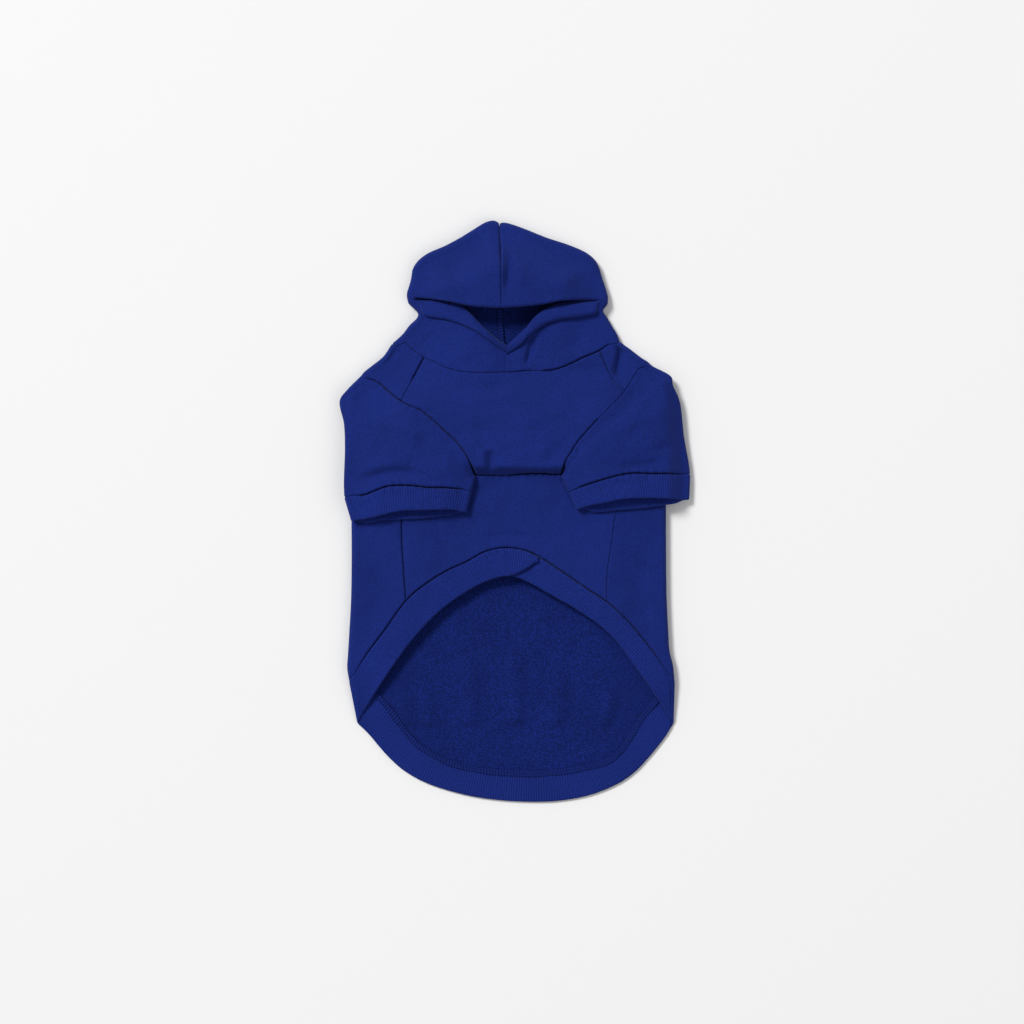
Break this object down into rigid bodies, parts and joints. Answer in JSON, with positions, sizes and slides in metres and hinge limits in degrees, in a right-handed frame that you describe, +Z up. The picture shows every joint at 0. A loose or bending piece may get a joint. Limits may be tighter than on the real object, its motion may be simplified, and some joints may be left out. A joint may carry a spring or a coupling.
{
  "type": "short-sleeved hooded fleece pet coat, lying flat",
  "caption": "Hooded fleece coat for a pet with short sleeves and a ribbed hem and cuffs, lying flat on its back with the belly side up.",
  "frame": {"origin": "middle of the garment's plan extents, on the surface it lies on", "axes": "+Y from the tail hem to the crown of the hood, +X to the right as the belly side is seen from above, +Z up"},
  "size_m": [0.2794, 0.4656, 0.025],
  "materials": {
    "fleece": "royal blue cotton fleece, smooth jersey outside and looped inside, matt",
    "rib_knit": "royal blue one-by-one rib knit, matt"
  },
  "bodies": {
    "root": {"back_panel": "fleece", "chest_panel": "fleece", "belly_panel": "fleece", "hem_band": "rib_knit", "sleeve_left": "fleece", "sleeve_right": "fleece", "cuff_left": "rib_knit", "cuff_right": "rib_knit", "hood_left": "fleece", "hood_right": "fleece"}
  },
  "joints": []
}
